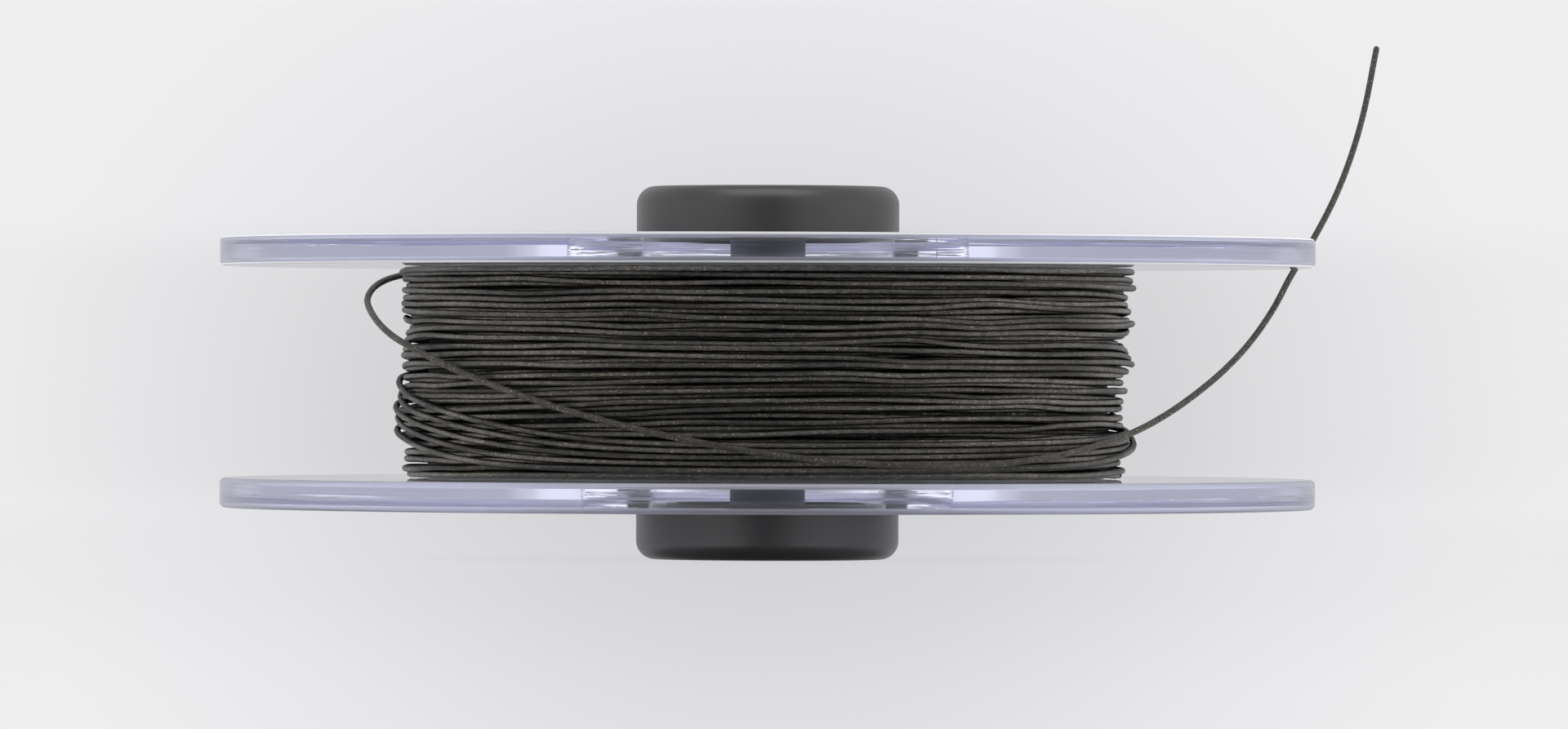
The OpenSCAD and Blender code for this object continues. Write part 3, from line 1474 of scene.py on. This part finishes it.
    def top_layer(self, rng: np.random.Generator) -> tuple[np.ndarray, np.ndarray]:
        """Heights of the outermost layer, which covers the upper part only.

        Args:
            rng: The random source.

        Returns:
            The total angle at each sample, in degrees before the exit, and the height.
        """
        knots = self.slack_turns()
        regular = (self.high - knots[0, 1]) / self.pitch * 360
        whole = round((regular - knots[0, 0] - self.exit_angle) / 360)
        start = -360.0 * whole - self.exit_angle
        step = 360 / self.samples
        angles = np.arange(start, 360 - self.exit_angle - step / 2, step)
        run = (angles - start) / (knots[0, 0] - start)
        plain = self.high + (knots[0, 1] - self.high) * run
        blend = np.interp(angles, (knots[0, 0] - 300, knots[0, 0]), (0, 1))
        plain = plain + self.common_sway(angles + self.exit_angle, plain) * (1 - blend)
        plain = plain + self.wander(angles, rng) * (1 - blend)
        places = self.partings + self.random_partings(rng)
        plain = self.parted(angles + self.exit_angle, plain, places)
        smooth = self.smoothed(np.interp(angles, knots[:, 0], knots[:, 1]), self.softness)
        heights = np.where(angles < knots[0, 0], plain, smooth)
        return angles, np.clip(heights, self.low, self.high)

    def ceiling(self, angles: np.ndarray, heights: np.ndarray) -> np.ndarray:
        """The furthest out that the outermost turns may lie under the free string.

        Args:
            angles: Angle from +X in degrees at each sample.
            heights: Height of each sample.

        Returns:
            The greatest radius at each sample.
        """
        turn = np.mod(angles, 360)
        # The free string lies on the turns across the front and near the upper flange
        free = np.interp(turn, (190, 208, 330, 350), (1, 0, 0, 1), left=1, right=1)
        free = free * np.interp(heights, (28.4, 30.0), (1, 0))
        return self.top_radius + 0.9 * free

    def slack(self, angles: np.ndarray) -> np.ndarray:
        """How far the slack turns stand off the winding at the left.

        Args:
            angles: Degrees before the exit at each sample.

        Returns:
            The extra radius at each sample.
        """
        bulge = np.zeros_like(angles)
        for turn, size in enumerate(self.slack_sizes):
            turns_back = self.slack_count + 1 - turn
            middle = self.slack_angle - self.exit_angle - 360 * turns_back
            bulge += size * np.exp(-(((angles - middle) / self.slack_reach) ** 2))
        return bulge

    def ground_swell(
        self, angles: np.ndarray, heights: np.ndarray, under: bool = False
    ) -> np.ndarray:
        """The unevenness of the winding's surface, from the turns far below.

        Args:
            angles: Angle from +X in degrees at each sample.
            heights: Height of each sample.
            under: Whether the layer lies under the slack turns.

        Returns:
            How far the surface lies in from its greatest radius.
        """
        turn = np.radians(angles)
        # The winding stands out a little more at the left than at the right
        swell = 0.14 + 0.14 * np.cos(turn)
        # It bulges at the left, at the height of the slack turns
        left = np.mod(angles, 360) - 180
        swell -= 0.58 * np.exp(-((left / 30) ** 2) - ((heights - 16.2) / 3.6) ** 2)
        if under:
            bulge = -(((left - 2) / 13) ** 2) - ((heights - 16.5) / 4.5) ** 4
            swell -= 0.52 * np.exp(bulge)
        # Broad and narrow waves up the winding, which lean as they go round
        wave = 2 * np.pi * heights
        swell += 0.09 * (1 + np.sin(wave / 5.3 + 2 * np.sin(turn + 1.0)))
        swell += 0.06 * (1 + np.sin(wave / 2.9 - 3 * np.sin(turn - 0.6) + 2))
        # The lowest turns lie further in
        swell += 0.75 * np.exp(-(((heights - 9.2) / 1.3) ** 2))
        return swell

    def end_rings(self, ground: float) -> Profile:
        """Section of everything under the strands, ridged like turns at both ends.

        Args:
            ground: Its outer radius.

        Returns:
            The closed section.
        """
        radius = self.diameter / 2
        count = int((ground - self.drum_radius) / self.diameter)
        pitch = (ground - self.drum_radius) / count
        leans = [math.radians(bend) for bend in (-75, -40, 0, 40, 75)]
        foot = self.low - self.end_gap
        ridge = []
        for k in range(count):
            centre = self.drum_radius + pitch * (k + 0.5)
            for lean in leans:
                out = centre + pitch / 2 * math.sin(lean)
                ridge.append((out, foot - radius * math.cos(lean)))
        return [
            (self.drum_radius, self.low),
            *ridge,
            (ground, self.low),
            (ground, self.high),
            *flipped(ridge[::-1], self.low + self.high),
            (self.drum_radius, self.high),
        ]

    def points(
        self, angles: np.ndarray, radii: np.ndarray, heights: np.ndarray
    ) -> np.ndarray:
        """The line through samples given by angle, radius and height."""
        turn = np.radians(angles)
        return np.stack([radii * np.cos(turn), radii * np.sin(turn), heights], axis=1)

    def build(
        self, finish: bpy.types.Material, deep: bpy.types.Material
    ) -> list[bpy.types.Object]:
        """Makes the wound string.

        Args:
            finish: The string's material.
            deep: The material of the string deep in the winding, painted darker as shade.

        Returns:
            The pieces.
        """
        rng = np.random.default_rng(self.seed)
        layers = []
        for number in range(self.plain_layers):
            heights = self.plain_layer(number, rng)
            radii = self.lay(heights, self.ground_radius)
            angles = 360.0 * np.arange(len(heights)) / self.samples
            layers.append((angles, radii, heights))
        drop = self.third_layer_radius - float(np.median(layers[-1][1]))
        self.radii = [r + drop for r in self.radii]
        lines = [
            self.points(a, r + drop - self.ground_swell(a, z, True), z) for a, r, z in layers
        ]
        angles, heights = self.top_layer(rng)
        radii = self.lay(heights, self.ground_radius + drop)
        before_exit = angles <= 0.01
        angles, radii, heights = (row[before_exit] for row in (angles, radii, heights))
        turn = angles + self.exit_angle
        radii = radii - self.ground_swell(turn, heights)
        radii = np.minimum(radii, self.ceiling(turn, heights)) + self.slack(angles)
        blend = np.interp(angles, (-30, -4), (0, 1))
        radii = radii * (1 - blend) + self.exit_radius * blend
        line = self.points(turn, radii, heights)
        lines.append(np.vstack([line, LooseString().exit_point()]))
        pieces = []
        for number, line in enumerate(lines):
            piece = strand(f"turns_{number + 1}", line, self.diameter / 2, self.sides, finish)
            LOG.info("turns %d: %.1f m of string", number + 1, distances(line)[-1] * MM)
            pieces.append(piece)
        core_radius = self.ground_radius + drop - self.diameter / 2 - self.core_gap
        # The core under the strands takes the string with painted shade
        pieces.append(turned("deep_turns", self.end_rings(core_radius), deep, 256, 80.0))
        for piece in pieces:
            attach(piece, Body.SPOOL.value)
        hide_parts("string_inner_layers")
        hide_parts("string_outer_turns")
        return pieces


# ---- Flanges, drum and hub ----


@dataclass
class Flange:
    """A clear disc with a rounded rim, a middle hole and a groove for the drum."""

    name: str
    node: str
    bore: float
    facing: Facing
    radius: float = 59.0
    thickness: float = 3.2
    rounding: float = 0.6
    groove_inner: float = 14.55
    groove_outer: float = 17.05
    groove_depth: float = 0.5
    draft: float = 0.04
    bore_edge: float = 0.12
    support: float = 0.04
    edge_lean: float = 0.1
    highlight_lean: float = 0.6
    arc_steps: int = 7
    segments: int = 384

    def section(self) -> Profile:
        """The section, with the grooved side up and the plain side at height 0.

        Returns:
            The closed section.
        """
        edge = self.radius - self.rounding
        shoulder = self.thickness - self.rounding
        rim = arc((edge, self.rounding), self.rounding, -90, 0, self.arc_steps)
        top = arc((edge, shoulder), self.rounding, 0, 90, self.arc_steps)
        depth = self.thickness - self.groove_depth
        wide_bore = self.bore + self.draft
        return [
            (self.bore, self.bore_edge),
            (self.bore + self.bore_edge, 0.0),
            (self.bore + self.bore_edge + self.support, 0.0),
            (edge - self.support, 0.0),
            *rim,
            (self.radius, self.rounding + self.support),
            (self.radius, shoulder - self.support),
            *top,
            (edge - self.support, self.thickness),
            (self.groove_outer, self.thickness),
            (self.groove_outer, depth),
            (self.groove_inner, depth),
            (self.groove_inner, self.thickness),
            (wide_bore + self.bore_edge, self.thickness),
            (wide_bore, self.thickness - self.bore_edge),
        ]

    def build(
        self,
        finish: bpy.types.Material,
        edge_finish: bpy.types.Material,
        highlight_finish: bpy.types.Material,
        height: float,
    ) -> bpy.types.Object:
        """highlight_finish: The plastic where those edges turn into the flat faces; on the
        upper flange a paler one, a painted highlight.
            height: Height of its plain side.

        Returns:
            The piece.
        """
        section = self.section()
        if self.facing is Facing.DOWN:
            profile = flipped(section, height)
        else:
            profile = [(r, height + z) for r, z in section]
        piece = turned(self.name, profile, finish, self.segments)
        piece.data.materials.append(edge_finish)
        piece.data.materials.append(highlight_finish)
        border = (self.radius - self.rounding) * MM
        for face in piece.data.polygons:
            lean = abs(face.normal[2])
            if math.hypot(*face.center[:2]) > border and lean > self.edge_lean:
                # The faces nearest the flat faces take the third finish, a painted highlight
                # line on the upper flange
                face.material_index = 1 if lean < self.highlight_lean else 2
        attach(piece, Body.SPOOL.value)
        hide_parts(self.node)
        return piece


@dataclass
class Cap:
    """A black hub cap with a rounded edge, a spindle hole and a centring ring."""

    name: str
    node: str
    ring: float
    facing: Facing
    radius: float = 14.15
    height: float = 5.4
    rounding: float = 2.0
    floor: float = 1.6
    hole: float = 3.0
    hole_rounding: float = 0.35
    ring_top: float = 6.1
    ring_wall: float = 1.6
    socket: float = 4.03
    socket_outer: float = 5.85
    socket_top: float = 5.0
    lip: float = 0.25
    ring_edge: float = 0.15
    support: float = 0.04
    segments: int = 192

    def section(self) -> Profile:
        """The section, standing on its rounded end at height 0.

        Returns:
            The closed section.
        """
        flat = self.radius - self.rounding
        outer = arc((flat, self.rounding), self.rounding, -90, 0, 14)
        top = self.height - self.lip
        shoulder = arc((self.radius - self.lip, top), self.lip, 0, 90, 4)
        inner = self.hole + self.hole_rounding
        mouth = arc((inner, self.hole_rounding), self.hole_rounding, 180, 270, 5)
        return [
            *mouth,
            (inner + self.support, 0.0),
            (flat - self.support, 0.0),
            *outer,
            (self.radius, self.rounding + self.support),
            (self.radius, top - self.support),
            *shoulder,
            (self.ring, self.height),
            (self.ring, self.ring_top - self.ring_edge),
            (self.ring - self.ring_edge, self.ring_top),
            (self.ring - self.ring_wall, self.ring_top),
            (self.ring - self.ring_wall, self.floor),
            (self.socket_outer, self.floor),
            (self.socket_outer, self.socket_top),
            (self.socket, self.socket_top),
            (self.socket, self.floor),
            (self.hole, self.floor),
            (self.hole, self.hole_rounding + self.support),
        ]

    def build(self, finish: bpy.types.Material, top: float) -> bpy.types.Object:
        """Makes the cap.

        Args:
            finish: The black plastic.
            top: The reel's whole height, that the upper cap hangs from.

        Returns:
            The piece.
        """
        section = self.section()
        profile = flipped(section, top) if self.facing is Facing.DOWN else section
        piece = turned(self.name, profile, finish, self.segments)
        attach(piece, Body.HUB.value)
        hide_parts(self.node)
        return piece


@dataclass
class Reel:
    """The whole reel, in the order in which its pieces are made."""

    height: float = 40.2
    lower_flange_foot: float = 5.5
    upper_flange_top: float = 34.7
    lower_bore: float = 12.6
    upper_bore: float = 13.6
    bore_play: float = 0.08

    def dress(self, node: str, finish: bpy.types.Material) -> bpy.types.Object:
        """Gives a carried-over node its finish.

        Args:
            node: The node's name.
            finish: The material.

        Returns:
            The node's object.
        """
        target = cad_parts[node]
        for slot in target.material_slots:
            slot.material = finish
        return target

    def build_string(self) -> list[bpy.types.Object]:
        """Makes the free end and the wound string.

        Returns:
            The pieces.
        """
        # Painted shade: the free string is painted darker than the same string on the winding
        braided = BraidedString("shaded_free_string", screen(54, 52, 49))
        free = LooseString().build(braided.build())
        # The wound turns get painted shade on their flanks
        wound = BraidedString(
            "wound_string", screen(66, 64, 61), painted_flank_shade=0.97, unevenness=0.55
        )
        # Painted shade: the string under the outer turns is painted far darker, as the shade
        # deep in the winding
        deep = BraidedString("shaded_deep_string", screen(28, 27, 26))
        return [free, *WoundString().build(wound.build(), deep.build())]

    def build_flanges(self) -> list[bpy.types.Object]:
        """Makes both flanges. The upper one's edges end in a paler line, a painted highlight
        where light falls on them.

        Returns:
            The pieces.
        """
        clear = ClearPlastic("clear_flange").build()
        edge = ClearPlastic(
            "clear_edge", roughness=0.32, clarity=0.56, haze=screen(200, 201, 217)
        ).build()
        # Painted highlight: only the upper flange's edges end in this paler plastic
        line = ClearPlastic(
            "painted_highlight_edge", roughness=0.32, clarity=0.1, haze=screen(240, 240, 245)
        ).build()
        low = Flange("flange_low", "lower_flange", self.lower_bore, Facing.UP)
        high = Flange("flange_high", "upper_flange", self.upper_bore, Facing.DOWN)
        return [
            low.build(clear, edge, edge, self.lower_flange_foot),
            high.build(clear, edge, line, self.upper_flange_top),
        ]

    def build_hub(self) -> list[bpy.types.Object]:
        """Makes both caps, and dresses the sleeve between them and the drum.

        Returns:
            The pieces and the dressed nodes.
        """
        satin = MouldedPlastic("satin_black", screen(54, 54, 55), roughness=0.34).build()
        low_ring = self.lower_bore - self.bore_play
        high_ring = self.upper_bore - self.bore_play
        low = Cap("cap_low", "lower_cap", low_ring, Facing.UP)
        high = Cap("cap_high", "upper_cap", high_ring, Facing.DOWN)
        dark = MouldedPlastic("dull_black", screen(38, 38, 39), roughness=0.55)
        post = MouldedPlastic("post_black", screen(108, 108, 116), roughness=0.5)
        return [
            low.build(satin, self.height),
            high.build(satin, self.height),
            self.dress("drum", dark.build()),
            self.dress("hub_sleeve", post.build()),
        ]

    def build(self) -> list[bpy.types.Object]:
        """Makes every piece and dresses the nodes that stay."""
        return [*self.build_string(), *self.build_flanges(), *self.build_hub()]


def main() -> None:
    """Builds the studio and the reel, and reports each piece."""
    logging.basicConfig(level=logging.INFO, format="%(message)s", stream=sys.stdout)
    Studio().build()
    LOG.info("studio: built")
    for piece in Reel().build():
        LOG.info("%s: ready, %d faces", piece.name, len(piece.data.polygons))


if __name__ == "__main__":
    main()
